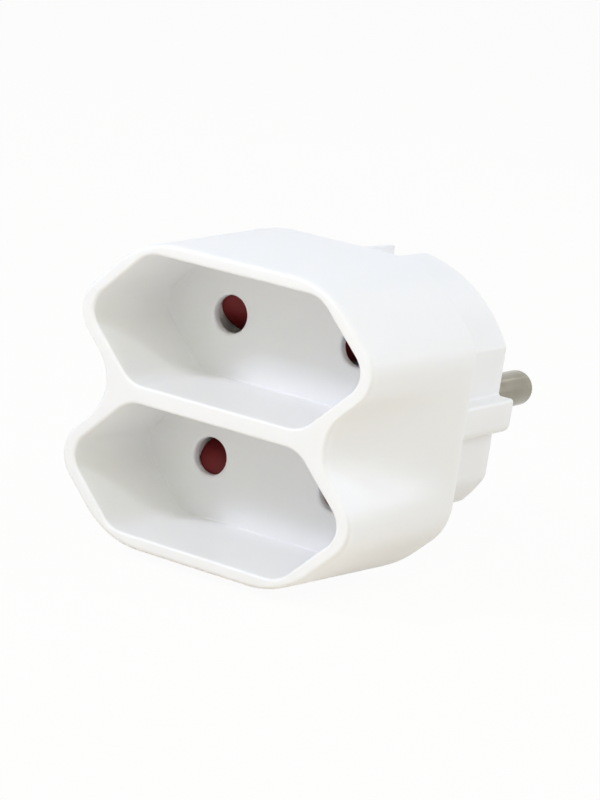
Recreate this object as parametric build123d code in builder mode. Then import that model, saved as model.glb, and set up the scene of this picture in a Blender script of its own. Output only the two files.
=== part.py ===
from build123d import *
from math import pi, sqrt, tan
import os

# Two-way flat-plug adapter: a round wall plug that carries two hexagonal socket wells.
# X runs along the wells, Y points at the wall, Z is up.
# The origin is the middle of the plug face; the pins point along +Y.
# A "depth" below is the distance from the plug face towards the user, along -Y.

# Pins and pin holes
pin_pitch = 19.0
pin_diameter = 4.8
pin_length = 19.0
pin_tip_round = 1.1
pin_root_step = 0.2
hole_diameter = 4.9

# Socket wells
well_gap = 2.3
well_height = 16.2
well_width = 41.0
well_tip_round = 3.1
well_corner_round = 4.2
well_depth = 15.6
well_draft = 0.4

# Housing shell
wall = 1.75
step_depth = 18.0
rim_corner_round = 12.0
back_corner_round = 15.5
tip_round = 4.5
back_tip_round = 7.0
waist_round = 5.9
back_growth = 1.15
back_side_inset = 1.25
back_waist_dip = 0.05
back_waist_radius = 90.0
floor_thickness = 1.2
rim_band = 1.0
back_band = 1.0
rim_outer_round = 0.6
rim_inner_round = 0.35
back_edge_round = 0.5

# Plug that enters the wall socket
plug_end_margin = 8.9
plug_side_margin = 6.75
plug_flat_round = 1.0
plug_low_round = 2.6
plug_foot_margin = 3.6
plug_foot_round = 1.5
plug_face_round = 0.2
plug_wall = 1.6
plug_face_thickness = 3.0
plug_rib_width = 4.6
plug_rib_height = 2.25
plug_rib_round = 1.4
plug_rib_top_round = 0.5
plug_rib_root_round = 0.4
earth_recess_width = 4.9
earth_recess_depth = 2.8
flange_thickness = 2.0
flange_ledge = 0.6
chamber_side_inset = 1.3
fit_clearance = 0.1

# Shutters, one for each socket, sliding outwards
flat_pin_diameter = 4.0
shutter_spare_travel = 0.05
shutter_thickness = 3.2
shutter_overlap = 0.05
shutter_ridge = 0.6
shutter_ramp_edge = 0.3
shutter_boss_width = 4.6
shutter_boss_thickness = 4.4
slide_clearance = 0.1

# Shutter springs
spring_wire = 0.3
spring_diameter = 2.4
spring_pocket_clearance = 0.25
spring_turns = 7
spring_wire_sides = 8
spring_end_gap = 0.35
spring_floor = 1.2

# Plate that carries the shutters
guide_thickness = 1.2
guide_hole_margin = 0.25
guide_pad_height = 0.6
guide_lug = 0.8
guide_rail_width = 1.5
guide_rail_length = 6.0
guide_stop_width = 7.0
guide_stop_height = 1.4

# Contacts
strip_width = 5.0
strip_thickness = 0.8
strip_end_margin = 1.5
pin_neck_diameter = 3.0
pin_flange_diameter = 7.4
pin_flange_thickness = 1.5
washer_diameter = 5.0
washer_thickness = 0.5
pin_head_diameter = 4.2
pin_head_thickness = 0.8
clip_thickness = 0.5
clip_width = 3.4
clip_gap = 4.2
clip_pinch = 3.5
clip_mouth = 4.9
clip_mouth_length = 4.2
clip_end_gap = 0.8
clip_room = 0.3
clip_heel_height = 1.0
clip_rivet_diameter = 1.6
clip_rivet_head = 2.8
clip_rivet_cap = 0.5
strip_rest_width = 1.6
strip_rest_place = 6.5

# Screw that closes the housing
screw_diameter = 3.0
screw_clearance = 0.2
screw_pilot_clearance = 0.05
screw_head_diameter = 5.6
screw_head_height = 1.9
screw_head_round = 0.4
screw_sink = 0.4
screw_sink_clearance = 0.3
screw_slot_width = 0.8
screw_slot_depth = 0.9
screw_grip = 3.8
column_diameter = 8.6
boss_diameter = 6.4
boss_clearance = 0.3
web_thickness = 1.6

# Depths worked out from the plug towards the user
flange_front = step_depth + flange_thickness
guide_back = flange_front
guide_front = guide_back + guide_thickness
guide_pad_front = guide_front + guide_pad_height
shutter_back = guide_pad_front + slide_clearance
shutter_front = shutter_back + shutter_thickness
floor_back = shutter_front + slide_clearance
floor_front = floor_back + floor_thickness
overall_depth = floor_front + well_depth
spring_depth = shutter_front - shutter_boss_thickness / 2

# Places and sizes worked out across the adapter
well_spacing = well_height + well_gap
well_middle = well_spacing / 2
hole_x = pin_pitch / 2
plug_radius = hole_x + plug_end_margin
plug_flat_reach = hole_x + plug_side_margin
plug_rib_reach = plug_flat_reach + plug_rib_height
plug_foot = well_middle + plug_foot_margin
earth_recess_floor = plug_radius - earth_recess_depth
pin_root_diameter = pin_diameter + 2 * pin_root_step
shutter_cover = hole_diameter / 2 + shutter_overlap
shutter_travel = shutter_cover + flat_pin_diameter / 2 + shutter_spare_travel
shutter_low = well_middle - shutter_cover
shutter_high = well_middle + shutter_cover
spring_low = shutter_low + spring_floor
spring_high = shutter_high + shutter_travel + spring_end_gap
strip_length = well_spacing + 2 * strip_end_margin

# Contacts worked out from the plug face inwards
strip_back = plug_face_thickness + pin_flange_thickness
strip_front = strip_back + strip_thickness
clip_front = strip_front + clip_thickness
clip_end_depth = flange_front - clip_end_gap
clip_pinch_depth = clip_end_depth - clip_mouth_length
clip_reach = clip_gap / 2 + clip_thickness
sides = (("left", -1), ("right", 1))
levels = (("upper", 1), ("lower", -1))


def at(depth):
    """Plane across the adapter at a depth; its x and y are world X and Z."""
    return Plane.XZ.offset(depth)


def well_corners(grow=0.0):
    """Half width of the flat, half height and tip of a well outline with 45 degree ends."""
    high = well_height / 2 + grow
    tip = well_width / 2 + grow * sqrt(2)
    flat = well_width / 2 - well_height / 2 + grow * tan(pi / 8)
    return flat, high, tip


def well_outline(grow=0.0):
    """Closed rounded outline of one well about its own middle."""
    flat, high, tip = well_corners(grow)
    points = [(-flat, high), (flat, high), (tip, 0), (flat, -high), (-flat, -high), (-tip, 0)]
    rounds = [well_corner_round, well_corner_round, well_tip_round] * 2
    return FilletPolyline(*points, radius=rounds, close=True)


def shell_outline(flat, top, side, shoulder, waist, rounds, grow=0.0):
    """Ten-sided outline round both wells; its rounds are for the corners, the tips and the dip."""
    shift = grow * tan(pi / 8)
    half = [(flat + shift, top + grow), (side + grow, shoulder + shift), (waist + grow, 0)]
    half += [(x, -z) for x, z in reversed(half[:2])]
    other = [(-x, z) for x, z in reversed(half)]
    corner, tip, dip = rounds[0] + grow, rounds[1] + grow, rounds[2]
    return FilletPolyline(*half, *other, radius=[corner, tip, dip, tip, corner] * 2, close=True)


def rim_outline():
    """Rim: two six-sided tubes, one wall wider than the wells, that meet in a soft waist."""
    flat, high, tip = well_corners(wall)
    top = well_middle + high
    waist = tip - well_middle
    return shell_outline(flat, top, tip, well_middle, waist, (rim_corner_round, tip_round, waist_round))


def back_outline(grow=0.0, side_inset=back_side_inset):
    """Back edge of the shell: nearly the same width, but with the waist run out."""
    flat, high, tip = well_corners(wall)
    side = tip - side_inset
    top = well_middle + high + back_growth
    shoulder = flat + top - side
    waist = side - back_waist_dip
    rounds = (back_corner_round, back_tip_round, back_waist_radius)
    return shell_outline(flat, top, side, shoulder, waist, rounds, grow)


def chamber_outline(grow=0.0):
    """Hollow behind the well floors, narrower than the flange seat so that a ledge is left."""
    return back_outline(grow - wall - flange_ledge, back_side_inset + chamber_side_inset)


def plug_outline(grow=0.0):
    """Round plug outline with two side flats and a flat foot, drawn in the current sketch."""
    with BuildSketch(mode=Mode.PRIVATE) as shape:
        Circle(plug_radius + grow)
        Rectangle(2 * (plug_flat_reach + grow), 2 * (plug_radius + grow), mode=Mode.INTERSECT)
        with Locations((0, (plug_radius - plug_foot) / 2)):
            Rectangle(4 * plug_radius, plug_radius + plug_foot + 2 * grow, mode=Mode.INTERSECT)
        fillet(shape.vertices().sort_by(Axis.Y)[4:], plug_flat_round)
        fillet(shape.vertices().sort_by(Axis.Y)[2:4], plug_low_round)
        fillet(shape.vertices().sort_by(Axis.Y)[:2], plug_foot_round)
    add(shape.sketch)


def save(builder, name):
    builder.part.label = name
    export_step(builder.part, "parts/" + name + ".step")


os.makedirs("parts", exist_ok=True)

# Front housing: one moulding with the lofted shell, both wells and their floors
with BuildPart() as front_housing:
    with BuildSketch(at(step_depth)):
        with BuildLine():
            back_outline()
        make_face()
    extrude(amount=back_band)
    fillet(front_housing.faces().sort_by(Axis.Y)[-1].edges(), back_edge_round)
    with BuildSketch(at(overall_depth - rim_band)):
        with BuildLine():
            rim_outline()
        make_face()
    extrude(amount=rim_band)
    fillet(front_housing.faces().sort_by(Axis.Y)[0].edges(), rim_outer_round)
    with BuildSketch(at(overall_depth - rim_band)):
        with BuildLine():
            rim_outline()
        make_face()
    with BuildSketch(at(step_depth + back_band)):
        with BuildLine():
            back_outline()
        make_face()
    loft(ruled=True)
    with BuildSketch(at(step_depth)):
        with BuildLine():
            back_outline(-wall)
        make_face()
    extrude(amount=flange_thickness, mode=Mode.SUBTRACT)
    with BuildSketch(at(flange_front)):
        with BuildLine():
            chamber_outline()
        make_face()
    extrude(amount=floor_back - flange_front, mode=Mode.SUBTRACT)
    for level in (-1, 1):
        with BuildSketch(at(overall_depth)):
            with Locations((0, level * well_middle)):
                with BuildSketch(mode=Mode.PRIVATE) as well:
                    with BuildLine():
                        well_outline()
                    make_face()
                add(well.sketch)
        extrude(amount=-well_depth, taper=well_draft, mode=Mode.SUBTRACT)
    rim_face = front_housing.faces().sort_by(Axis.Y)[0]
    fillet(rim_face.inner_wires().edges(), rim_inner_round)
    with BuildSketch(at(floor_back)):
        with GridLocations(pin_pitch, well_spacing, 2, 2):
            Circle(hole_diameter / 2)
    extrude(amount=floor_thickness, mode=Mode.SUBTRACT)
    with BuildSketch(at(flange_front)):
        Circle(boss_diameter / 2)
        Circle(screw_diameter / 2 + screw_pilot_clearance, mode=Mode.SUBTRACT)
    extrude(amount=floor_back - flange_front)
save(front_housing, "front_housing")

# Plug base: flange that closes the shell, hollow plug, side ribs, earth recess, screw column
with BuildPart() as plug_base:
    with BuildSketch(at(0)):
        plug_outline()
    extrude(amount=flange_front)
    with BuildSketch(at(0)) as ribbed:
        plug_outline()
        Rectangle(2 * plug_rib_reach, plug_rib_width)
        middle = ribbed.vertices().filter_by_position(Axis.Y, -plug_rib_width, plug_rib_width)
        fillet(middle.group_by(Axis.X)[1] + middle.group_by(Axis.X)[-2], plug_rib_root_round)
        ends = ribbed.vertices().group_by(Axis.X)
        fillet((ends[0] + ends[-1]).sort_by(Axis.Y)[2:], plug_rib_top_round)
        ends = ribbed.vertices().group_by(Axis.X)
        fillet((ends[0] + ends[-1]).sort_by(Axis.Y)[:2], plug_rib_round)
    extrude(amount=step_depth)
    fillet(plug_base.faces().sort_by(Axis.Y)[-1].edges(), plug_face_round)
    with BuildSketch(at(0)):
        with Locations((0, plug_radius)):
            Rectangle(earth_recess_width, 2 * (plug_radius - earth_recess_floor))
    extrude(amount=step_depth, mode=Mode.SUBTRACT)
    with BuildSketch(at(step_depth)):
        with BuildLine():
            back_outline(-wall - fit_clearance)
        make_face()
    extrude(amount=flange_thickness)
    with BuildSketch(at(plug_face_thickness)):
        plug_outline(-plug_wall)
        with Locations((0, plug_radius)):
            width = earth_recess_width + 2 * plug_wall
            Rectangle(width, 2 * (plug_radius - earth_recess_floor + plug_wall), mode=Mode.SUBTRACT)
        Circle(column_diameter / 2, mode=Mode.SUBTRACT)
        Rectangle(web_thickness, 2 * plug_radius, mode=Mode.SUBTRACT)
        with GridLocations(pin_pitch, 0, 2, 1):
            SlotOverall(strip_length + 2 * clip_room, strip_width + 2 * clip_room, rotation=90)
        with GridLocations(pin_pitch, well_spacing, 2, 2):
            Rectangle(2 * (clip_reach + clip_room), clip_width + 2 * clip_room)
    extrude(amount=flange_front - plug_face_thickness, mode=Mode.SUBTRACT)
    with BuildSketch(at(plug_face_thickness)):
        with GridLocations(pin_pitch, 2 * strip_rest_place, 2, 2):
            Rectangle(strip_width, strip_rest_width)
    extrude(amount=pin_flange_thickness)
    with BuildSketch(at(0)):
        with GridLocations(pin_pitch, 0, 2, 1):
            Circle(pin_root_diameter / 2)
        Circle(screw_diameter / 2 + screw_clearance)
    extrude(amount=flange_front, mode=Mode.SUBTRACT)
    with BuildSketch(at(0)):
        Circle(screw_head_diameter / 2 + screw_sink_clearance)
    extrude(amount=screw_sink + screw_head_height, mode=Mode.SUBTRACT)
save(plug_base, "plug_base")

# Shutter guide: plate with pin holes, side rails, stops and a spring lug for each shutter
with BuildPart() as shutter_guide:
    with BuildSketch(at(guide_back)):
        with BuildLine():
            chamber_outline(-fit_clearance)
        make_face()
        with GridLocations(pin_pitch, well_spacing, 2, 2):
            Circle(hole_diameter / 2 + guide_hole_margin, mode=Mode.SUBTRACT)
        Circle(boss_diameter / 2 + boss_clearance, mode=Mode.SUBTRACT)
        boss_low = shutter_low - slide_clearance
        boss_high = shutter_high + shutter_travel + slide_clearance
        for level in (-1, 1):
            with Locations((0, level * (boss_low + boss_high) / 2)):
                slot_width = shutter_boss_width + 2 * slide_clearance
                Rectangle(slot_width, boss_high - boss_low, mode=Mode.SUBTRACT)
    extrude(amount=guide_thickness)
    with BuildSketch(at(guide_front)):
        for level in (-1, 1):
            with Locations((0, level * (shutter_low - guide_stop_height / 2))):
                Rectangle(guide_stop_width, guide_stop_height)
            with Locations((0, level * (spring_high + guide_lug / 2))):
                Rectangle(shutter_boss_width, guide_lug)
        rail_x = hole_x + shutter_cover + slide_clearance + guide_rail_width / 2
        with GridLocations(2 * rail_x, well_spacing, 2, 2):
            Rectangle(guide_rail_width, guide_rail_length)
    extrude(amount=shutter_front - guide_front)
    with BuildSketch(at(guide_front)):
        pad_x = (shutter_boss_width + guide_rail_width) / 2 + guide_rail_width
        pad_low = shutter_low
        pad_high = shutter_high + shutter_travel
        with GridLocations(2 * pad_x, pad_low + pad_high, 2, 2):
            Rectangle(guide_rail_width, pad_high - pad_low)
    extrude(amount=guide_pad_height)
save(shutter_guide, "shutter_guide")

# Shutters: a bar with round ends that covers both holes, a ramp for each pin, a spring boss
for name, level in levels:
    with BuildPart() as shutter:
        with BuildSketch(at(shutter_back)):
            with Locations((0, level * well_middle)):
                SlotCenterToCenter(pin_pitch, 2 * shutter_cover)
        extrude(amount=shutter_thickness)
        with BuildSketch(at(shutter_front - shutter_boss_thickness)):
            with Locations((0, level * well_middle)):
                Rectangle(shutter_boss_width, 2 * shutter_cover)
        extrude(amount=shutter_boss_thickness)
        for side in (-1, 1):
            with BuildSketch(Plane.YZ.offset(side * hole_x - shutter_cover)):
                with BuildLine():
                    ridge_z = level * (well_middle + shutter_ridge)
                    low_z = level * (shutter_low - slide_clearance)
                    Polyline((-shutter_front, ridge_z), (-shutter_back - shutter_ramp_edge, low_z),
                             (-shutter_front, low_z), close=True)
                make_face()
            extrude(amount=2 * shutter_cover, mode=Mode.SUBTRACT)
        with BuildSketch(Plane.XY.offset(level * spring_low)):
            with Locations((0, -spring_depth)):
                Circle(spring_diameter / 2 + spring_pocket_clearance)
        extrude(amount=level * (shutter_high - spring_low), mode=Mode.SUBTRACT)
    save(shutter, name + "_shutter")

    with BuildPart() as spring:
        coil_height = spring_high - spring_low - spring_wire
        coil_middle = level * (spring_low + spring_high) / 2
        with BuildLine() as wire:
            Helix(coil_height / spring_turns, coil_height, (spring_diameter - spring_wire) / 2,
                  center=(0, -spring_depth, coil_middle - coil_height / 2))
        with BuildSketch(Plane(wire.line @ 0, z_dir=wire.line % 0)):
            RegularPolygon(spring_wire / 2, spring_wire_sides)
        sweep(is_frenet=True)
    save(spring, name + "_shutter_spring")

# Pins: solid, with a thicker root in the plug face, a flange and a neck riveted over the strip
for name, side in sides:
    with BuildPart() as pin:
        with BuildSketch(Plane((side * hole_x, 0, 0))):
            with BuildLine():
                head_back = strip_front + washer_thickness
                head_front = head_back + pin_head_thickness
                head_end = pin_head_diameter / 2 - pin_head_thickness / 2
                Polyline((0, pin_length), (pin_diameter / 2, pin_length), (pin_diameter / 2, 0),
                         (pin_root_diameter / 2, 0), (pin_root_diameter / 2, -plug_face_thickness),
                         (pin_flange_diameter / 2, -plug_face_thickness),
                         (pin_flange_diameter / 2, -strip_back),
                         (pin_neck_diameter / 2, -strip_back), (pin_neck_diameter / 2, -head_back),
                         (pin_head_diameter / 2, -head_back), (head_end, -head_front),
                         (0, -head_front), close=True)
            make_face()
        revolve(axis=Axis((side * hole_x, 0, 0), (0, 1, 0)))
        fillet(pin.edges().filter_by(GeomType.CIRCLE).sort_by(Axis.Y)[-1], pin_tip_round)
    save(pin, name + "_pin")

    with BuildPart() as washer:
        with BuildSketch(at(strip_front)):
            with Locations((side * hole_x, 0)):
                Circle(washer_diameter / 2)
                Circle(pin_neck_diameter / 2, mode=Mode.SUBTRACT)
        extrude(amount=washer_thickness)
    save(washer, name + "_pin_washer")

    with BuildPart() as strip:
        with BuildSketch(at(strip_back)):
            with Locations((side * hole_x, 0)):
                SlotOverall(strip_length, strip_width, rotation=90)
                Circle(pin_neck_diameter / 2, mode=Mode.SUBTRACT)
                with GridLocations(0, well_spacing, 1, 2):
                    Circle(clip_rivet_diameter / 2, mode=Mode.SUBTRACT)
        extrude(amount=strip_thickness)
    save(strip, name + "_contact_strip")

# Contact clips: a folded fork for each socket hole, riveted to the strip of its side
for end, level in levels:
    for name, side in sides:
        clip_x = side * hole_x
        clip_z = level * well_middle
        with BuildPart() as clip:
            with BuildSketch(Plane.XY.offset(clip_z - clip_width / 2)):
                with BuildLine():
                    heel = clip_gap / 2 + clip_thickness / 2
                    middle = strip_front + clip_thickness / 2
                    leaf = [(clip_mouth / 2, -clip_end_depth), (clip_pinch / 2, -clip_pinch_depth),
                            (heel, -middle - clip_heel_height), (heel, -middle)]
                    right_leaf = [(clip_x + x, y) for x, y in leaf]
                    left_leaf = [(clip_x - x, y) for x, y in reversed(leaf)]
                    middle_line = Polyline(*right_leaf, *left_leaf)
                    offset(middle_line, amount=clip_thickness / 2, side=Side.BOTH, kind=Kind.ARC)
                make_face()
            extrude(amount=clip_width)
            with BuildSketch(at(strip_front)):
                with Locations((clip_x, clip_z)):
                    Circle(clip_rivet_diameter / 2)
            extrude(amount=clip_thickness, mode=Mode.SUBTRACT)
        save(clip, end + "_" + name + "_clip")

        with BuildPart() as rivet:
            with BuildSketch(at(strip_back - clip_rivet_cap)):
                with Locations((clip_x, clip_z)):
                    Circle(clip_rivet_head / 2)
            extrude(amount=clip_rivet_cap)
            with BuildSketch(at(strip_back)):
                with Locations((clip_x, clip_z)):
                    Circle(clip_rivet_diameter / 2)
            extrude(amount=strip_thickness + clip_thickness)
            with BuildSketch(at(clip_front)):
                with Locations((clip_x, clip_z)):
                    Circle(clip_rivet_head / 2)
            extrude(amount=clip_rivet_cap)
            fillet(rivet.faces().sort_by(Axis.Y)[0].edges(), clip_rivet_cap * 0.8)
        save(rivet, end + "_" + name + "_clip_rivet")

# Closing screw: sunk in the plug face, it pulls the plug base onto the boss of the housing
with BuildPart() as closing_screw:
    with BuildSketch(at(screw_sink)):
        Circle(screw_head_diameter / 2)
    extrude(amount=screw_head_height)
    fillet(closing_screw.faces().sort_by(Axis.Y)[-1].edges(), screw_head_round)
    with BuildSketch(at(screw_sink)):
        Rectangle(screw_head_diameter, screw_slot_width)
    extrude(amount=screw_slot_depth, mode=Mode.SUBTRACT)
    with BuildSketch(at(screw_sink + screw_head_height)):
        Circle(screw_diameter / 2)
    extrude(amount=flange_front + screw_grip - screw_sink - screw_head_height)
save(closing_screw, "closing_screw")
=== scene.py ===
"""Looks of a two-way flat-plug adapter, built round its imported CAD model."""

from cmath import phase, rect
from math import cos, pi, radians, sin, sqrt, tan

import bmesh
import bpy
from bpy.props import FloatProperty, FloatVectorProperty, IntProperty, PointerProperty
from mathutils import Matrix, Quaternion, Vector


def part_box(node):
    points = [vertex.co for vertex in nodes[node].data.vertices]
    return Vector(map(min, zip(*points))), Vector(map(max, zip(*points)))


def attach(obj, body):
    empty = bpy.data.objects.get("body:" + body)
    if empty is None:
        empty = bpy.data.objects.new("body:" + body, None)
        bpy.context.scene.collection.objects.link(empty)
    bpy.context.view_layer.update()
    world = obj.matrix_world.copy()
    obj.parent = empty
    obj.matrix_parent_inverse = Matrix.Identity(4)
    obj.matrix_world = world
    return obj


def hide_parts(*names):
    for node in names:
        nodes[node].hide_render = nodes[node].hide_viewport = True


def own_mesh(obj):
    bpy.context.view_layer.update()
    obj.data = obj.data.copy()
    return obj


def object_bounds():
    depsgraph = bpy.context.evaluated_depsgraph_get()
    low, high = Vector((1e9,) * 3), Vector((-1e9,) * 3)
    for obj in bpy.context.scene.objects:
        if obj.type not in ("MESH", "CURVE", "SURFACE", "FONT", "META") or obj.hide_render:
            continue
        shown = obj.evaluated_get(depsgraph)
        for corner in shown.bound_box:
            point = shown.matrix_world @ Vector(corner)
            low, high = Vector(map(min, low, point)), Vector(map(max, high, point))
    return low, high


bl_info = {
    "name": "Two-way Plug Adapter",
    "version": (1, 0, 0),
    "blender": (4, 5, 0),
    "location": "View3D > Sidebar > Adapter",
    "description": "Dresses the CAD model of a two-way plug adapter and lights it",
    "category": "Object",
}

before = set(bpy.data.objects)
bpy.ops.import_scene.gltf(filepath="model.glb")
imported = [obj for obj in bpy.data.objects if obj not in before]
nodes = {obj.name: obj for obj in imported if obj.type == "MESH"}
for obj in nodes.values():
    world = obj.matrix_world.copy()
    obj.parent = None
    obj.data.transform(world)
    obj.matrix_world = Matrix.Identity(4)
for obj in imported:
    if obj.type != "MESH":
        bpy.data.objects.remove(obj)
cad_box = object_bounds()

mm = 0.001
micron = 0.001 * mm
even = (1.0, 1.0, 1.0)

# Housing and shutters, in millimetres; a depth is measured from the plug face towards the user
well_height, well_width, well_middle = 16.2, 41.0, 9.25
well_corner_round, well_tip_round, well_slope = 4.2, 3.1, tan(radians(0.4))
floor_front, floor_back, rim_depth = 26.4, 25.2, 42.0
wall, step_depth, flange_front = 1.75, 18.0, 20.0
back_band, rim_band = 1.0, 1.0
rim_rounds = (12.0, 4.5, 5.9)
back_rounds = (15.5, 7.0, 90.0)
back_growth, back_side_inset, back_waist_dip = 1.15, 1.25, 0.05
ledge, chamber_side_inset = 0.6, 1.3
rim_outer_round, rim_inner_round, back_edge_round = 0.6, 0.35, 0.5
floor_round, hole_edge_round = 0.25, 0.35
hole_x, hole_radius = 9.5, 2.45
flat_strip = 0.06
boss_radius, bore_radius = 3.2, 1.55
shutter_front, shutter_cover, shutter_ridge = 25.1, 2.5, well_middle + 0.6
ramp_low, ramp_high, ramp_foot = 22.2, shutter_ridge, well_middle - shutter_cover - 0.1


def colour_setting(name, description, default):
    """A colour that the user can change."""
    return FloatVectorProperty(name=name, description=description, subtype="COLOR", size=3,
                               min=0.0, max=1.0, default=default)


def length_setting(name, description, default):
    """A length in metres that the user can change."""
    return FloatProperty(name=name, description=description, unit="LENGTH", min=0.0,
                         precision=5, default=default)


def share_setting(name, description, default, most=1.0):
    """A plain number from nothing to its most."""
    return FloatProperty(name=name, description=description, min=0.0, max=most, default=default)


class ShellSettings(bpy.types.PropertyGroup):
    """White mouldings: housing, plug and guide plate; the shutters share their grain and smooth angle."""

    white: colour_setting("White", "Main colour of the glossy white plastic", (0.94, 0.943, 0.946))
    warm_white: colour_setting("Warm white", "Colour that the white drifts to in soft patches",
                               (0.943, 0.943, 0.94))
    guide_white: colour_setting("Guide white", "Colour of the plain guide plate", (0.95, 0.93, 0.92))
    polish: share_setting("Roughness", "Roughness of the polished outer faces", 0.42)
    grain: length_setting("Grain", "Depth of the fine moulded grain", 0.004 * mm)
    glow: share_setting("Glow", "Share of the light that passes through the white plastic", 0.4)
    glow_reach: length_setting("Glow reach", "How far light passes through the white plastic", 1.2 * mm)
    smooth_angle: FloatProperty(name="Smooth angle",
                                description="Faces that meet flatter than this look round",
                                subtype="ANGLE", min=0.0, max=pi, default=radians(28))


class ShutterSettings(bpy.types.PropertyGroup):
    """Red shutters and their springs."""

    red: colour_setting("Red", "Colour of the shutter plastic", (0.155, 0.012, 0.013))
    bright_red: colour_setting("Bright red", "Colour where the red plastic is lighter",
                               (0.19, 0.018, 0.019))
    polish: share_setting("Roughness", "Roughness of the shutter plastic", 0.5)
    gloss: share_setting("Gloss", "Strength of the clear reflection on the shutter plastic", 0.25)
    ridge_round: length_setting("Ridge round", "Reach of the soft round between the bar and its ramps",
                                1.7 * mm)
    spring_turns: FloatProperty(name="Turns", description="Turns of wire in each spring", min=1.0,
                                default=7.0)
    wire: length_setting("Wire", "Diameter of the spring wire", 0.3 * mm)


class MetalSettings(bpy.types.PropertyGroup):
    """Pins, contacts and the closing screw."""

    nickel: colour_setting("Nickel", "Colour of the plated pins", (0.29, 0.27, 0.21))
    brass: colour_setting("Brass", "Colour of the contacts", (0.62, 0.42, 0.16))
    steel: colour_setting("Steel", "Colour of springs and washers", (0.42, 0.43, 0.45))
    zinc: colour_setting("Zinc", "Colour of the closing screw", (0.5, 0.51, 0.54))
    thread_pitch: length_setting("Thread pitch", "Rise of the screw thread in one turn", 1.1 * mm)
    thread_depth: length_setting("Thread depth", "Height of the thread over the core of the screw", 0.35 * mm)
    pin_segments: IntProperty(name="Pin segments", description="Faces round each pin", min=12, default=96)


class StageSettings(bpy.types.PropertyGroup):
    """Camera, lamps, floor and background."""

    azimuth: FloatProperty(name="Azimuth", description="Turn of the camera to the object's right",
                           subtype="ANGLE", default=radians(30.98))
    elevation: FloatProperty(name="Elevation", description="Camera's angle over the horizon",
                             subtype="ANGLE", default=radians(11.80))
    roll: FloatProperty(name="Roll", description="Lean of the camera about its own view",
                        subtype="ANGLE", default=radians(8.54))
    distance: length_setting("Distance", "From the camera to the point it looks at", 348.9 * mm)
    lens: FloatProperty(name="Lens", description="Focal length for a 36 mm picture side",
                        subtype="DISTANCE_CAMERA", min=1.0, default=123.91)
    lamp_power: share_setting("Lamp power", "All lamps together, against their usual power", 1.0, 20.0)
    lamp_size: length_setting("Lamp size", "Side of a square lamp of full size", 0.45)
    sky_colour: colour_setting("Sky colour", "Tint of the light from all round", (0.957, 1.0, 0.991))
    sky_level: share_setting("Sky level", "Strength of the light from all round", 0.467, 5.0)
    floor_colour: colour_setting("Floor colour", "Colour of the pale floor", (0.87, 0.8, 0.68))
    floor_white: share_setting("Floor white", "Share of plain white that the camera sees on the floor", 0.95)


def add_node(tree, kind, place, **settings):
    """New node in a tree, with its settings and plain input values by name."""
    node = tree.nodes.new(kind)
    node.location = place
    inputs = settings.pop("inputs", {})
    for name, value in settings.items():
        setattr(node, name, value)
    for name, value in inputs.items():
        node.inputs[name].default_value = value
    return node


def new_material(name):
    """Empty material with an output and one shader; gives material, tree and shader."""
    material = bpy.data.materials.new(name)
    material.use_nodes = True
    tree = material.node_tree
    tree.nodes.clear()
    output = add_node(tree, "ShaderNodeOutputMaterial", (600, 0))
    shader = add_node(tree, "ShaderNodeBsdfPrincipled", (300, 0))
    tree.links.new(shader.outputs["BSDF"], output.inputs["Surface"])
    return material, tree, shader


def noise_field(tree, place, scale, detail=3.0, stretch=(1.0, 1.0, 1.0)):
    """Noise over the object's own coordinates, stretched on each axis."""
    coordinates = add_node(tree, "ShaderNodeTexCoord", (place[0] - 400, place[1]))
    mapping = add_node(tree, "ShaderNodeMapping", (place[0] - 200, place[1]), inputs={"Scale": stretch})
    noise = add_node(tree, "ShaderNodeTexNoise", place, inputs={"Scale": scale, "Detail": detail})
    tree.links.new(coordinates.outputs["Object"], mapping.inputs["Vector"])
    tree.links.new(mapping.outputs["Vector"], noise.inputs["Vector"])
    return noise.outputs["Fac"]


def two_tones(tree, shader, field, first, second, low, high, place):
    """Base colour that drifts from one tone to another as the field goes from low to high."""
    ramp = add_node(tree, "ShaderNodeValToRGB", place)
    ramp.color_ramp.elements[0].position = low
    ramp.color_ramp.elements[1].position = high
    ramp.color_ramp.elements[0].color = (*first, 1.0)
    ramp.color_ramp.elements[1].color = (*second, 1.0)
    tree.links.new(field, ramp.inputs["Fac"])
    tree.links.new(ramp.outputs["Color"], shader.inputs["Base Color"])


def uneven_roughness(tree, shader, field, low, high, place):
    """Roughness that follows a field between two values."""
    dark_noise, light_noise = 0.3, 0.7
    spread = add_node(tree, "ShaderNodeMapRange", place,
                      inputs={"From Min": dark_noise, "From Max": light_noise,
                              "To Min": low, "To Max": high})
    tree.links.new(field, spread.inputs["Value"])
    tree.links.new(spread.outputs["Result"], shader.inputs["Roughness"])


def small_bumps(tree, shader, field, depth, place):
    """Surface relief of a real depth from a field."""
    bump = add_node(tree, "ShaderNodeBump", place, inputs={"Strength": 1.0, "Distance": depth})
    tree.links.new(field, bump.inputs["Height"])
    tree.links.new(bump.outputs["Normal"], shader.inputs["Normal"])


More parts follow.
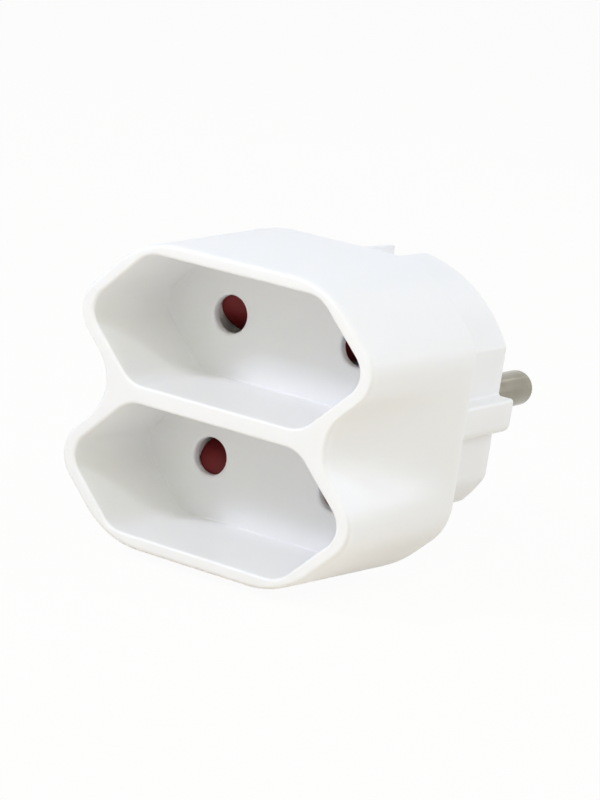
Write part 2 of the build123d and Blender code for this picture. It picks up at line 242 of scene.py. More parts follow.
def moulded_plastic(name, first, second, roughness, grain, glow=0.0, glow_reach=0.0, gloss=0.5):
    """Injection-moulded plastic: soft drift of tone, uneven polish, fine grain and some light let through."""
    patch_scale, polish_scale, grain_scale = 70.0, 400.0, 2500.0
    smoother, rougher = 0.04, 0.05
    plastic_ior, reach_by_colour = 1.5, (1.0, 0.95, 0.85)
    material, tree, shader = new_material(name)
    patches = noise_field(tree, (-300, 200), patch_scale)
    two_tones(tree, shader, patches, first, second, low=0.35, high=0.65, place=(0, 200))
    wear = noise_field(tree, (-300, -50), polish_scale)
    uneven_roughness(tree, shader, wear, roughness - smoother, roughness + rougher, (0, -50))
    small_bumps(tree, shader, noise_field(tree, (-300, -300), grain_scale), grain, (0, -300))
    shader.inputs["IOR"].default_value = plastic_ior
    shader.inputs["Specular IOR Level"].default_value = gloss
    shader.inputs["Subsurface Weight"].default_value = glow
    shader.inputs["Subsurface Radius"].default_value = reach_by_colour
    shader.inputs["Subsurface Scale"].default_value = glow_reach
    return material


def drawn_metal(name, colour, roughness, stretch, depth):
    """Bare or plated metal with fine marks drawn out along or round the piece."""
    patch_scale, mark_scale, mark_detail = 260.0, 900.0, 6.0
    dark_share, smoother, rougher = 0.86, 0.06, 0.1
    material, tree, shader = new_material(name)
    darker = [dark_share * c for c in colour]
    marks = noise_field(tree, (-300, -200), mark_scale, mark_detail, stretch)
    patches = noise_field(tree, (-300, 200), patch_scale)
    two_tones(tree, shader, patches, darker, colour, low=0.35, high=0.6, place=(0, 200))
    uneven_roughness(tree, shader, marks, roughness - smoother, roughness + rougher, (0, -50))
    small_bumps(tree, shader, marks, depth, (0, -300))
    shader.inputs["Metallic"].default_value = 1.0
    return material


def give_material(piece, material):
    """The piece shows this material all over."""
    piece.data.materials.clear()
    piece.data.materials.append(material)


def dress_cad(names, material):
    """CAD nodes keep their shape and get a better material."""
    for name in names:
        give_material(nodes[name], material)


def new_piece(name, mesh, material, replaced=(), body="housing"):
    """Finished mesh as a piece that rides on a body and may stand for CAD nodes."""
    piece = bpy.data.objects.new(name, mesh)
    bpy.context.scene.collection.objects.link(piece)
    give_material(piece, material)
    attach(piece, body)
    if replaced:
        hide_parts(*replaced)
    return piece


def merged_copy(node_name):
    """Copy of a CAD node's mesh with its loose triangles joined, as an editable mesh."""
    shape = bmesh.new()
    shape.from_mesh(nodes[node_name].data)
    bmesh.ops.remove_doubles(shape, verts=shape.verts, dist=0.5 * micron)
    return shape


def mesh_from(shape, name, smooth_angle):
    """Mesh from an edited shape, smooth where its faces meet flatter than an angle."""
    mesh = bpy.data.meshes.new(name)
    shape.to_mesh(mesh)
    shape.free()
    stale_normals = mesh.attributes.get("custom_normal")
    if stale_normals:
        mesh.attributes.remove(stale_normals)
    mesh.shade_smooth()
    mesh.set_sharp_from_angle(angle=smooth_angle)
    return mesh


def lathe_mesh(name, centre, profile, segments, smooth_angle):
    """Closed turned mesh about an axis along Y; the profile is a list of (radius, y)."""
    shape = bmesh.new()
    rings = []
    for radius, y in profile:
        if radius == 0:
            rings.append([shape.verts.new((centre[0], y, centre[1]))])
            continue
        angles = [2 * pi * i / segments for i in range(segments)]
        rings.append([shape.verts.new((centre[0] + radius * cos(a), y, centre[1] + radius * sin(a)))
                      for a in angles])
    for near, far in zip(rings, rings[1:]):
        for i in range(segments):
            j = (i + 1) % segments
            if len(near) == 1:
                shape.faces.new((near[0], far[i], far[j]))
            elif len(far) == 1:
                shape.faces.new((near[i], far[0], near[j]))
            else:
                shape.faces.new((near[i], far[i], far[j], near[j]))
    bmesh.ops.recalc_face_normals(shape, faces=shape.faces)
    return mesh_from(shape, name, smooth_angle)


def rounded_outline(corners, rounds, steps=12):
    """Closed outline through corners, each cut by an arc; a point is x + z * 1j."""
    outline = []
    befores, afters = corners[-1:] + corners[:-1], corners[1:] + corners[:1]
    for before, here, after, r in zip(befores, corners, afters, rounds):
        back = (before - here) / abs(before - here)
        ahead = (after - here) / abs(after - here)
        half = abs(phase(ahead / back)) / 2
        middle = here + (back + ahead) / abs(back + ahead) * r / sin(half)
        first = here + back * r / tan(half) - middle
        turn = phase((here + ahead * r / tan(half) - middle) / first)
        outline += [middle + first * rect(1, turn * k / steps) for k in range(steps + 1)]
    return outline


def well_corners(grow):
    """Half width of the flat, half height and tip of a well outline with 45 degree ends."""
    flat = well_width / 2 - well_height / 2 + grow * tan(pi / 8)
    return flat, well_height / 2 + grow, well_width / 2 + grow * sqrt(2)


def well_outline(grow):
    """Six-sided outline of a well about its own middle."""
    flat, high, tip = well_corners(grow)
    corners = [complex(x, z) for x, z in
               ((flat, high), (tip, 0), (flat, -high), (-flat, -high), (-tip, 0), (-flat, high))]
    return rounded_outline(corners, [well_corner_round, well_tip_round, well_corner_round] * 2)


def shell_outline(flat, top, side, shoulder, waist, rounds, grow):
    """Ten-sided outline round both wells, with a dip at mid height on each side."""
    shift = grow * tan(pi / 8)
    half = [complex(flat + shift, top + grow), complex(side + grow, shoulder + shift),
            complex(waist + grow, 0)]
    half += [corner.conjugate() for corner in reversed(half[:2])]
    corner, tip, dip = rounds[0] + grow, rounds[1] + grow, rounds[2]
    return rounded_outline(half + [-corner for corner in half], [corner, tip, dip, tip, corner] * 2)


def rim_outline(grow=0.0):
    """Rim of the housing: two six-sided tubes that meet in a soft waist."""
    flat, high, tip = well_corners(wall)
    return shell_outline(flat, well_middle + high, tip, well_middle, tip - well_middle, rim_rounds, grow)


def back_outline(grow=0.0, side_inset=back_side_inset):
    """Back edge of the housing, where the waist has run out."""
    flat, high, tip = well_corners(wall)
    side, top = tip - side_inset, well_middle + high + back_growth
    return shell_outline(flat, top, side, flat + top - side, side - back_waist_dip, back_rounds, grow)


def reach_at(outline, angle):
    """Distance from the middle to an outline in one direction."""
    turn = rect(1, -angle)
    turned = [point * turn for point in outline]
    for near, far in zip(turned, turned[1:] + turned[:1]):
        if (near.imag <= 0) != (far.imag <= 0):
            reach = near.real - near.imag * (far.real - near.real) / (far.imag - near.imag)
            if reach > 0:
                return reach
    raise ValueError("the outline doesn't go round its middle")


def shared_angles(*outlines):
    """Directions that catch every corner of several outlines, with none too close together."""
    step_degrees, closest, last = 3, radians(0.4), pi - radians(0.2)
    wanted = sorted([phase(point) for outline in outlines for point in outline]
                    + [radians(degrees) - pi for degrees in range(0, 360, step_degrees)])
    kept = wanted[:1]
    for angle in wanted:
        if angle - kept[-1] > closest and angle < last:
            kept.append(angle)
    return kept


def add_ring(shape, points, depth, middle=0.0):
    """Loop of corners at one depth."""
    return [shape.verts.new((point.real * mm, -depth * mm, (point.imag + middle) * mm)) for point in points]


def add_outline(shape, outline, angles, depth, middle=0.0):
    """Loop of corners where an outline meets a set of directions."""
    return add_ring(shape, [rect(reach_at(outline, a), a) for a in angles], depth, middle)


def add_band(shape, near, far):
    """Four-sided faces between two loops with as many corners."""
    for i in range(len(near)):
        shape.faces.new((near[i - 1], near[i], far[i], far[i - 1]))


def add_tube(shape, rings):
    """Bands through a row of loops; gives the first and the last."""
    for near, far in zip(rings, rings[1:]):
        add_band(shape, near, far)
    return rings[0], rings[-1]


def fill_flat(shape, loops):
    """Flat face between a loop and the loops inside it."""
    edges = []
    for loop in loops:
        edges += [shape.edges.get((loop[i - 1], loop[i])) or shape.edges.new((loop[i - 1], loop[i]))
                  for i in range(len(loop))]
    bmesh.ops.triangle_fill(shape, use_beauty=True, edges=edges)


def round_steps(radius, steps=6):
    """Way along a quarter round: how far it is in from the side, and down from the face."""
    quarter = [k * pi / (2 * steps) for k in range(steps + 1)]
    return [(radius * (1 - sin(a)), radius * (1 - cos(a))) for a in quarter]


def circle_points(centre, radius, steps=64):
    """Points of a circle about a point."""
    return [centre + rect(radius, 2 * pi * k / steps) for k in range(steps)]


def add_skin(shape, angles):
    """Outside from the back recess over both edges; gives the recess and the inner loop of the rim."""
    skin_rows = 26
    recess = add_outline(shape, back_outline(-wall), angles, step_depth)
    skin = [recess, add_outline(shape, back_outline(-back_edge_round - flat_strip), angles, step_depth)]
    skin += [add_outline(shape, back_outline(-inset), angles, step_depth + down)
             for inset, down in round_steps(back_edge_round)]
    start, end = step_depth + back_band, rim_depth - rim_band
    back_reach = [reach_at(back_outline(), a) for a in angles]
    rim_reach = [reach_at(rim_outline(), a) for a in angles]
    for row in range(skin_rows + 1):
        share = row / skin_rows
        points = [rect(b + (r - b) * share, a) for a, b, r in zip(angles, back_reach, rim_reach)]
        skin.append(add_ring(shape, points, start + (end - start) * share))
    skin += [add_outline(shape, rim_outline(-inset), angles, rim_depth - down)
             for inset, down in reversed(round_steps(rim_outer_round))]
    skin.append(add_outline(shape, rim_outline(-rim_outer_round - flat_strip), angles, rim_depth))
    return recess, add_tube(shape, skin)[1]


def add_chamber(shape, angles, recess):
    """Inside from the back recess over the ledge to the well floors; gives its last loop."""
    chamber = back_outline(-wall - ledge, back_side_inset + chamber_side_inset)
    hollow = [recess, add_outline(shape, back_outline(-wall), angles, flange_front)]
    hollow += [add_outline(shape, chamber, angles, depth) for depth in (flange_front, floor_back)]
    return add_tube(shape, hollow)[1]


def add_boss(shape):
    """Boss for the closing screw with its blind hole; gives the loop at its foot."""
    boss = [add_ring(shape, circle_points(0, radius), depth) for radius, depth in
            ((boss_radius, floor_back), (boss_radius, flange_front), (bore_radius, flange_front),
             (bore_radius, floor_back))]
    foot, bore_end = add_tube(shape, boss)
    shape.faces.new(bore_end)
    return foot


def add_hole(shape, x, middle):
    """Hole for a pin through a well floor, rounded in front; gives its front and its back loop."""
    edge = [(inset, floor_front - down) for inset, down in round_steps(hole_edge_round, 5)]
    profile = [(hole_edge_round + flat_strip, floor_front), *edge, (0.0, floor_back)]
    return add_tube(shape, [add_ring(shape, circle_points(x, hole_radius + grow), depth, middle)
                            for grow, depth in profile])


def add_well(shape, angles, middle):
    """Well with its floor and holes; gives the loop of its mouth and the back loops of its holes."""
    wall_rows = 8
    wall_front, wall_foot = rim_depth - rim_inner_round, floor_front + floor_round
    foot_grow = (wall_foot - rim_depth) * well_slope
    profile = [(rim_inner_round + flat_strip, rim_depth)]
    profile += [(inset, rim_depth - down) for inset, down in round_steps(rim_inner_round)]
    for row in range(1, wall_rows + 1):
        depth = wall_front + (wall_foot - wall_front) * row / wall_rows
        profile.append(((depth - rim_depth) * well_slope, depth))
    profile += [(foot_grow - inward, floor_front + up) for up, inward in round_steps(floor_round)[1:]]
    profile.append((foot_grow - floor_round - flat_strip, floor_front))
    mouth, floor = add_tube(shape, [add_outline(shape, well_outline(grow), angles, depth, middle)
                                    for grow, depth in profile])
    holes = [add_hole(shape, x, middle) for x in (-hole_x, hole_x)]
    fill_flat(shape, [floor, *(front for front, back in holes)])
    return mouth, [back for front, back in holes]


def housing_shape():
    """Housing with rounded rims, a smooth skin, both wells, the chamber behind them and the screw boss."""
    shape = bmesh.new()
    angles = shared_angles(rim_outline(), back_outline())
    recess, rim_edge = add_skin(shape, angles)
    chamber_end = add_chamber(shape, angles, recess)
    front_loops, back_loops = [rim_edge], [chamber_end, add_boss(shape)]
    well_angles = shared_angles(well_outline(0))
    for middle in (well_middle, -well_middle):
        mouth, hole_backs = add_well(shape, well_angles, middle)
        front_loops.append(mouth)
        back_loops += hole_backs
    fill_flat(shape, front_loops)
    fill_flat(shape, back_loops)
    bmesh.ops.recalc_face_normals(shape, faces=shape.faces)
    return shape


def cut_across(shape, place, direction):
    """New edges wherever a plane goes through a face; corners closer than a hair lie on the plane."""
    hair = 0.01 * micron
    bmesh.ops.bisect_plane(shape, geom=[*shape.verts, *shape.edges, *shape.faces],
                           plane_co=place, plane_no=direction, dist=hair)


def shutter_shape(node_name, outward, ridge_round):
    """Copy of a shutter with a soft round where the bar turns into the ramps for the pins."""
    round_rows, side_strip, near = 12, 0.05, 0.01
    shape = merged_copy(node_name)
    start = outward * shutter_ridge * mm - outward * ridge_round
    fall = (shutter_front - ramp_low) / (ramp_high - ramp_foot)
    inner_edge = hole_x - shutter_cover
    ramp_edge = inner_edge + side_strip
    for row in range(round_rows + 1):
        cut_across(shape, (0, 0, start + outward * 2 * ridge_round * row / round_rows), (0, 0, 1))
    for edge in (inner_edge, ramp_edge):
        for x in (-edge, edge):
            cut_across(shape, (x * mm, 0, 0), (1, 0, 0))
    for vert in shape.verts:
        share = outward * (vert.co.z - start) / (2 * ridge_round)
        beyond = outward * vert.co.z / mm - shutter_ridge
        sharp = -(shutter_front + min(beyond, 0) * fall) * mm
        over_ramp = abs(vert.co.x) > (ramp_edge - near) * mm
        if 0 < share < 1 and over_ramp and abs(vert.co.y - sharp) < near * mm:
            low = -(shutter_front - ridge_round / mm * fall) * mm
            vert.co.y = (1 - share) ** 2 * low - (1 - (1 - share) ** 2) * shutter_front * mm
    return shape


def coil_tree(name):
    """Geometry Nodes tree for wire wound in a helix, with flatter turns at both ends."""
    end_turns, end_rise = 0.11, 0.036
    given_values = (("Float", ("Turns", "Radius", "Height", "Wire Radius")),
                    ("Int", ("Steps", "Wire Sides")),
                    ("Vector", ("Turned", "Place")),
                    ("Material", ("Material",)))
    tree = bpy.data.node_groups.new(name, "GeometryNodeTree")
    tree.interface.new_socket("Geometry", in_out="OUTPUT", socket_type="NodeSocketGeometry")
    for kind, labels in given_values:
        for label in labels:
            tree.interface.new_socket(label, in_out="INPUT", socket_type="NodeSocket" + kind)
    given = add_node(tree, "NodeGroupInput", (-900, 0)).outputs
    spiral = add_node(tree, "GeometryNodeCurveSpiral", (-650, 100))
    along = add_node(tree, "GeometryNodeSplineParameter", (-650, -250))
    rise = add_node(tree, "ShaderNodeFloatCurve", (-450, -250))
    points = rise.mapping.curves[0].points
    points.new(end_turns, end_rise)
    points.new(1 - end_turns, 1 - end_rise)
    for point in points:
        point.handle_type = "VECTOR"
    rise.mapping.update()
    lift = add_node(tree, "ShaderNodeMath", (-200, -250), operation="MULTIPLY")
    here = add_node(tree, "GeometryNodeInputPosition", (-650, -500))
    split = add_node(tree, "ShaderNodeSeparateXYZ", (-450, -500))
    joined = add_node(tree, "ShaderNodeCombineXYZ", (0, -350))
    moved = add_node(tree, "GeometryNodeSetPosition", (150, 100))
    wire = add_node(tree, "GeometryNodeCurvePrimitiveCircle", (150, -150))
    swept = add_node(tree, "GeometryNodeCurveToMesh", (350, 100), inputs={"Fill Caps": True})
    placed = add_node(tree, "GeometryNodeTransform", (550, 100))
    realized = add_node(tree, "GeometryNodeRealizeInstances", (750, 100))
    finish = add_node(tree, "GeometryNodeSetMaterial", (950, 100))
    result = add_node(tree, "NodeGroupOutput", (1150, 100))
    link = tree.links.new
    link(given["Steps"], spiral.inputs["Resolution"])
    link(given["Turns"], spiral.inputs["Rotations"])
    link(given["Radius"], spiral.inputs["Start Radius"])
    link(given["Radius"], spiral.inputs["End Radius"])
    link(given["Height"], spiral.inputs["Height"])
    link(along.outputs["Factor"], rise.inputs["Value"])
    link(rise.outputs["Value"], lift.inputs[0])
    link(given["Height"], lift.inputs[1])
    link(here.outputs["Position"], split.inputs["Vector"])
    link(split.outputs["X"], joined.inputs["X"])
    link(split.outputs["Y"], joined.inputs["Y"])
    link(lift.outputs["Value"], joined.inputs["Z"])
    link(spiral.outputs["Curve"], moved.inputs["Geometry"])
    link(joined.outputs["Vector"], moved.inputs["Position"])
    link(given["Wire Sides"], wire.inputs["Resolution"])
    link(given["Wire Radius"], wire.inputs["Radius"])
    link(moved.outputs["Geometry"], swept.inputs["Curve"])
    link(wire.outputs["Curve"], swept.inputs["Profile Curve"])
    link(swept.outputs["Mesh"], placed.inputs["Geometry"])
    link(given["Turned"], placed.inputs["Rotation"])
    link(given["Place"], placed.inputs["Translation"])
    link(placed.outputs["Geometry"], realized.inputs["Geometry"])
    link(realized.outputs["Geometry"], finish.inputs["Geometry"])
    link(given["Material"], finish.inputs["Material"])
    link(finish.outputs["Geometry"], result.inputs["Geometry"])
    return tree


def mesh_of_tree(name, tree, values):
    """Plain mesh that a Geometry Nodes tree gives for these input values."""
    holder = bpy.data.objects.new(name, bpy.data.meshes.new(name + "_holder"))
    bpy.context.scene.collection.objects.link(holder)
    modifier = holder.modifiers.new("Nodes", "NODES")
    modifier.node_group = tree
    sockets = {s.name: s.identifier for s in tree.interface.items_tree if s.in_out == "INPUT"}
    for label, value in values.items():
        modifier[sockets[label]] = value
    depsgraph = bpy.context.evaluated_depsgraph_get()
    mesh = bpy.data.meshes.new_from_object(holder.evaluated_get(depsgraph))
    mesh.name = name
    mesh.shade_smooth()
    bpy.data.objects.remove(holder)
    return mesh


class ADAPTER_OT_make_shell(bpy.types.Operator):
    """Dress the housing, the plug and the guide plate in moulded plastic"""

    bl_idname = "adapter.make_shell"
    bl_label = "Shell and plug"

    def execute(self, context):
        s = context.scene.adapter_shell
        gloss = moulded_plastic("glossy_white_plastic", s.white, s.warm_white, s.polish, s.grain,
                                s.glow, s.glow_reach)
        plain = moulded_plastic("plain_white_plastic", s.guide_white, s.warm_white, s.polish + 0.2, s.grain,
                                s.glow, s.glow_reach)
        housing = mesh_from(housing_shape(), "housing_shell", s.smooth_angle)
        new_piece("housing_shell", housing, gloss, ["front_housing"])
        plug = mesh_from(merged_copy("plug_base"), "plug_body", s.smooth_angle)
        new_piece("plug_body", plug, gloss, ["plug_base"])
        dress_cad(["shutter_guide"], plain)
        return {"FINISHED"}


class ADAPTER_OT_make_shutters(bpy.types.Operator):
    """Dress the red shutters and wind their springs"""

    bl_idname = "adapter.make_shutters"
    bl_label = "Shutters and springs"

    def execute(self, context):
        s = context.scene.adapter_shutter
        smooth_angle, grain = context.scene.adapter_shell.smooth_angle, context.scene.adapter_shell.grain
        red = moulded_plastic("red_shutter_plastic", s.red, s.bright_red, s.polish, grain, gloss=s.gloss)
        steel = drawn_metal("spring_wire_steel", context.scene.adapter_metal.steel, roughness=0.3,
                            stretch=even, depth=2 * micron)
        tree = coil_tree("shutter_spring_coil")
        for level, outward in (("upper", 1), ("lower", -1)):
            shutter = level + "_shutter"
            bar = mesh_from(shutter_shape(shutter, outward, s.ridge_round), shutter + "_bar", smooth_angle)
            new_piece(shutter + "_bar", bar, red, [shutter], body=shutter)
            low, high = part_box(level + "_shutter_spring")
            middle = (low + high) / 2
            height = high.z - low.z
            mesh = mesh_of_tree(level + "_spring_coil", tree, {
                "Turns": s.spring_turns, "Radius": (high.x - low.x - s.wire) / 2,
                "Height": height - s.wire, "Wire Radius": s.wire / 2, "Steps": 40, "Wire Sides": 12,
                "Turned": (0.0, 0.0, 0.0), "Place": (middle.x, middle.y, low.z + s.wire / 2),
                "Material": steel})
            coil = new_piece(level + "_spring_coil", mesh, steel, [level + "_shutter_spring"])
            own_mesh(coil)
        return {"FINISHED"}


class ADAPTER_OT_make_pins(bpy.types.Operator):
    """Turn the plated pins, with their flanges and riveted necks"""

    bl_idname = "adapter.make_pins"
    bl_label = "Pins"

    def execute(self, context):
        s = context.scene.adapter_metal
        arc_steps, along_pin = 12, (1.0, 0.06, 1.0)
        nickel = drawn_metal("plated_pin_nickel", s.nickel, roughness=0.2, stretch=along_pin,
                             depth=0.1 * micron)
        shank, tip, root, flange, neck, head, head_end = [r * mm for r in (2.4, 1.1, 2.6, 3.7, 1.5, 2.1, 1.7)]
        plug_inside, flange_end, head_start = [-depth * mm for depth in (3.0, 4.5, 5.8)]
        for side in ("left", "right"):
            low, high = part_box(side + "_pin")
            centre = ((low.x + high.x) / 2, (low.z + high.z) / 2)
            arc = [(shank - tip + tip * cos(a), high.y - tip + tip * sin(a))
                   for a in (i * pi / (2 * arc_steps) for i in range(arc_steps))]
            profile = [(0, high.y), (shank - tip, high.y), *reversed(arc), (shank, 0), (root, 0),
                       (root, plug_inside), (flange, plug_inside), (flange, flange_end), (neck, flange_end),
                       (neck, head_start), (head, head_start), (head_end, low.y), (0, low.y)]
            mesh = lathe_mesh(side + "_plated_pin", centre, profile, s.pin_segments,
                              smooth_angle=radians(35))
            new_piece(side + "_plated_pin", mesh, nickel, [side + "_pin"])
        return {"FINISHED"}


class ADAPTER_OT_make_contacts(bpy.types.Operator):
    """Dress the brass strips, clips and rivets, and the steel washers"""

    bl_idname = "adapter.make_contacts"
    bl_label = "Contacts"

    def execute(self, context):
        s = context.scene.adapter_metal
        along_strip = (3.0, 3.0, 0.2)
        rolled = drawn_metal("rolled_brass", s.brass, roughness=0.3, stretch=along_strip, depth=1.5 * micron)
        headed = drawn_metal("headed_brass", s.brass, roughness=0.36, stretch=even, depth=3 * micron)
        washer = drawn_metal("washer_steel", s.steel, roughness=0.34, stretch=even, depth=2 * micron)
        corners = [level + "_" + side for level in ("upper", "lower") for side in ("left", "right")]
        dress_cad(["left_contact_strip", "right_contact_strip"], rolled)
        dress_cad([corner + "_clip" for corner in corners], rolled)
        dress_cad([corner + "_clip_rivet" for corner in corners], headed)
        dress_cad(["left_pin_washer", "right_pin_washer"], washer)
        return {"FINISHED"}


class ADAPTER_OT_make_screw(bpy.types.Operator):
    """Give the closing screw its core and thread"""

    bl_idname = "adapter.make_screw"
    bl_label = "Closing screw"

    def execute(self, context):
        s = context.scene.adapter_metal
        point_share = 0.35
        zinc = drawn_metal("zinc_screw_steel", s.zinc, roughness=0.3, stretch=even, depth=2 * micron)
        low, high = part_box("closing_screw")
        thread_start, point_length, outer = -8.0 * mm, 1.6 * mm, 1.5 * mm
        core = outer - s.thread_depth
        shape = merged_copy("closing_screw")
        for cut in (thread_start, thread_start - s.thread_depth, low.y + point_length):
            cut_across(shape, (0, cut, 0), (0, 1, 0))
        for vert in shape.verts:
            if vert.co.y < thread_start - s.thread_depth / 2:
                reach = core / outer
                if vert.co.y < low.y + point_length / 2:
                    reach *= point_share
                vert.co.x *= reach
                vert.co.z *= reach
        body = mesh_from(shape, "screw_body", smooth_angle=radians(30))
        new_piece("screw_body", body, zinc, ["closing_screw"])
        length = thread_start - low.y - point_length
        thread = mesh_of_tree("screw_thread", coil_tree("screw_thread_coil"), {
            "Turns": length / s.thread_pitch, "Radius": core, "Height": length,
            "Wire Radius": s.thread_depth, "Steps": 48, "Wire Sides": 4,
            "Turned": (pi / 2, 0.0, 0.0), "Place": (0.0, thread_start, 0.0), "Material": zinc})
        new_piece("screw_thread", thread, zinc)
        return {"FINISHED"}


# Each lamp's name, place, side as a share of the full size, watts and colour
studio_lamps = (
    ("key_lamp", (-0.235, -0.483, 0.407), 0.22, 1.86, (0.8, 0.83, 1.0)),
    ("front_top_lamp", (0.0, -0.5, 0.45), 1.0, 0.33, (1.0, 1.0, 1.0)),
    ("right_lamp", (0.4, -0.45, 0.35), 1.0, 0.61, (1.0, 0.95, 0.63)),
    ("back_lamp", (0.45, 0.4, 0.3), 1.0, 1.66, (0.8, 0.83, 1.0)),
    ("pin_streak_lamp", (0.062, 0.563, 0.356), 0.2, 0.085, (1.0, 1.0, 1.0)),
)
# Where the lamps aim, in metres, and where the camera does, in millimetres
lamp_aim = (0.0, -0.02, 0.0)
camera_aim = (-1.34, -20.0, -0.54)


def soft_lamp(name, place, aim, size, power, colour):
    """Square area lamp turned towards a point."""
    data = bpy.data.lights.new(name, "AREA")
    data.shape = "SQUARE"
    data.size = size
    data.energy = power
    data.color = colour
    lamp = bpy.data.objects.new(name, data)
    bpy.context.scene.collection.objects.link(lamp)
    lamp.location = place
    lamp.rotation_mode = "QUATERNION"
    lamp.rotation_quaternion = (Vector(aim) - Vector(place)).to_track_quat("-Z", "Y")


def seen_directly(tree, place):
    """1 for rays of the camera, of mirrors and of clear pieces, 0 for light that lands on the object."""
    rays = add_node(tree, "ShaderNodeLightPath", place)
    first = add_node(tree, "ShaderNodeMath", (place[0] + 200, place[1]), operation="MAXIMUM")
    second = add_node(tree, "ShaderNodeMath", (place[0] + 400, place[1]), operation="MAXIMUM")
    tree.links.new(rays.outputs["Is Camera Ray"], first.inputs[0])
    tree.links.new(rays.outputs["Is Glossy Ray"], first.inputs[1])
    tree.links.new(first.outputs["Value"], second.inputs[0])
    tree.links.new(rays.outputs["Is Transmission Ray"], second.inputs[1])
    return second.outputs["Value"]


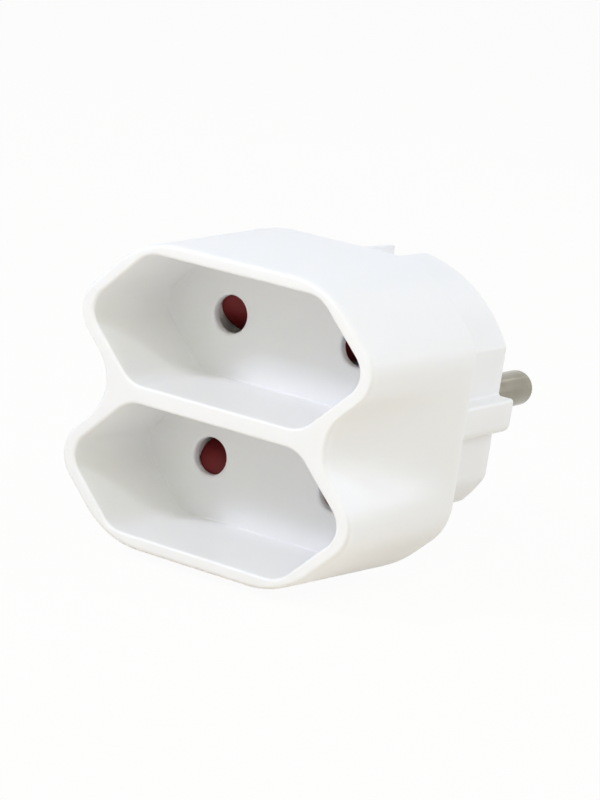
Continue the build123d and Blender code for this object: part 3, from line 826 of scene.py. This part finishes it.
class ADAPTER_OT_make_stage(bpy.types.Operator):
    """Set the floor, the background, the lamps and the camera"""

    bl_idname = "adapter.make_stage"
    bl_label = "Stage"

    def execute(self, context):
        s = context.scene.adapter_stage
        self.make_floor(s)
        self.make_world(context.scene, s)
        for name, place, share_of_size, watts, colour in studio_lamps:
            size, power = share_of_size * s.lamp_size, s.lamp_power * watts
            soft_lamp(name, place, lamp_aim, size, power, colour)
        self.make_camera(context.scene, s)
        context.scene.view_settings.view_transform = "Standard"
        return {"FINISHED"}

    def make_floor(self, s):
        """Wide floor just under the object, nearly white for the camera and pale for its light."""
        half, drop = 3.0, 0.02 * mm
        z = cad_box[0].z - drop
        mesh = bpy.data.meshes.new("studio_floor")
        corners = [(-half, -half, z), (half, -half, z), (half, half, z), (-half, half, z)]
        mesh.from_pydata(corners, [], [(0, 1, 2, 3)])
        floor = bpy.data.objects.new("studio_floor", mesh)
        bpy.context.scene.collection.objects.link(floor)
        material = bpy.data.materials.new("studio_floor_paint")
        material.use_nodes = True
        tree = material.node_tree
        tree.nodes.clear()
        output = add_node(tree, "ShaderNodeOutputMaterial", (600, 0))
        paint = add_node(tree, "ShaderNodeBsdfDiffuse", (0, 150), inputs={"Color": (*s.floor_colour, 1.0)})
        white = add_node(tree, "ShaderNodeEmission", (0, -50), inputs={"Strength": 1.0})
        share = add_node(tree, "ShaderNodeMath", (200, -200), operation="MULTIPLY")
        share.inputs[1].default_value = s.floor_white
        mix = add_node(tree, "ShaderNodeMixShader", (400, 0))
        tree.links.new(seen_directly(tree, (-500, -200)), share.inputs[0])
        tree.links.new(share.outputs["Value"], mix.inputs["Fac"])
        tree.links.new(paint.outputs["BSDF"], mix.inputs[1])
        tree.links.new(white.outputs["Emission"], mix.inputs[2])
        tree.links.new(mix.outputs["Shader"], output.inputs["Surface"])
        give_material(floor, material)

    def make_world(self, scene, s):
        """White background that lights the object as a soft, tinted sky."""
        world = bpy.data.worlds.new("studio_world")
        scene.world = world
        world.use_nodes = True
        tree = world.node_tree
        tree.nodes.clear()
        output = add_node(tree, "ShaderNodeOutputWorld", (600, 0))
        sky = add_node(tree, "ShaderNodeBackground", (0, 150),
                       inputs={"Color": (*s.sky_colour, 1.0), "Strength": s.sky_level})
        white = add_node(tree, "ShaderNodeBackground", (0, -50), inputs={"Strength": 1.0})
        white.inputs["Color"].default_value = (1.0, 1.0, 1.0, 1.0)
        mix = add_node(tree, "ShaderNodeMixShader", (400, 0))
        tree.links.new(seen_directly(tree, (-500, -200)), mix.inputs["Fac"])
        tree.links.new(sky.outputs["Background"], mix.inputs[1])
        tree.links.new(white.outputs["Background"], mix.inputs[2])
        tree.links.new(mix.outputs["Shader"], output.inputs["Surface"])

    def make_camera(self, scene, s):
        """Camera that looks at the object from the front, its right and a little above."""
        data = bpy.data.cameras.new("camera")
        data.sensor_width = 36.0
        data.lens = s.lens
        data.clip_start = 0.01
        camera = bpy.data.objects.new("camera", data)
        scene.collection.objects.link(camera)
        aim = Vector(camera_aim) * mm
        level = cos(s.elevation)
        back = Vector((sin(s.azimuth) * level, -cos(s.azimuth) * level, sin(s.elevation)))
        camera.location = aim + back * s.distance
        camera.rotation_mode = "QUATERNION"
        camera.rotation_quaternion = (-back).to_track_quat("-Z", "Y") @ Quaternion((0, 0, 1), s.roll)
        scene.camera = camera


class ADAPTER_PT_panel(bpy.types.Panel):
    """Steps that build the adapter's looks"""

    bl_idname = "ADAPTER_PT_panel"
    bl_label = "Plug adapter"
    bl_space_type = "VIEW_3D"
    bl_region_type = "UI"
    bl_category = "Adapter"

    def draw(self, context):
        for group, operators in steps:
            box = self.layout.box()
            settings = getattr(context.scene, group)
            for name in settings.bl_rna.properties.keys():
                if name not in ("rna_type", "name"):
                    box.prop(settings, name)
            for operator in operators:
                box.operator(operator.bl_idname)


setting_groups = {
    "adapter_shell": ShellSettings,
    "adapter_shutter": ShutterSettings,
    "adapter_metal": MetalSettings,
    "adapter_stage": StageSettings,
}
steps = (
    ("adapter_shell", (ADAPTER_OT_make_shell,)),
    ("adapter_shutter", (ADAPTER_OT_make_shutters,)),
    ("adapter_metal", (ADAPTER_OT_make_pins, ADAPTER_OT_make_contacts, ADAPTER_OT_make_screw)),
    ("adapter_stage", (ADAPTER_OT_make_stage,)),
)
operator_classes = tuple(operator for group, operators in steps for operator in operators)


def register():
    for name, settings in setting_groups.items():
        bpy.utils.register_class(settings)
        setattr(bpy.types.Scene, name, PointerProperty(type=settings))
    for operator in operator_classes:
        bpy.utils.register_class(operator)
    bpy.utils.register_class(ADAPTER_PT_panel)


def unregister():
    bpy.utils.unregister_class(ADAPTER_PT_panel)
    for operator in reversed(operator_classes):
        bpy.utils.unregister_class(operator)
    for name, settings in setting_groups.items():
        delattr(bpy.types.Scene, name)
        bpy.utils.unregister_class(settings)


def main():
    """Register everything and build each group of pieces."""
    register()
    bpy.ops.adapter.make_shell()
    bpy.ops.adapter.make_shutters()
    bpy.ops.adapter.make_pins()
    bpy.ops.adapter.make_contacts()
    bpy.ops.adapter.make_screw()
    bpy.ops.adapter.make_stage()


if __name__ == "__main__":
    main()
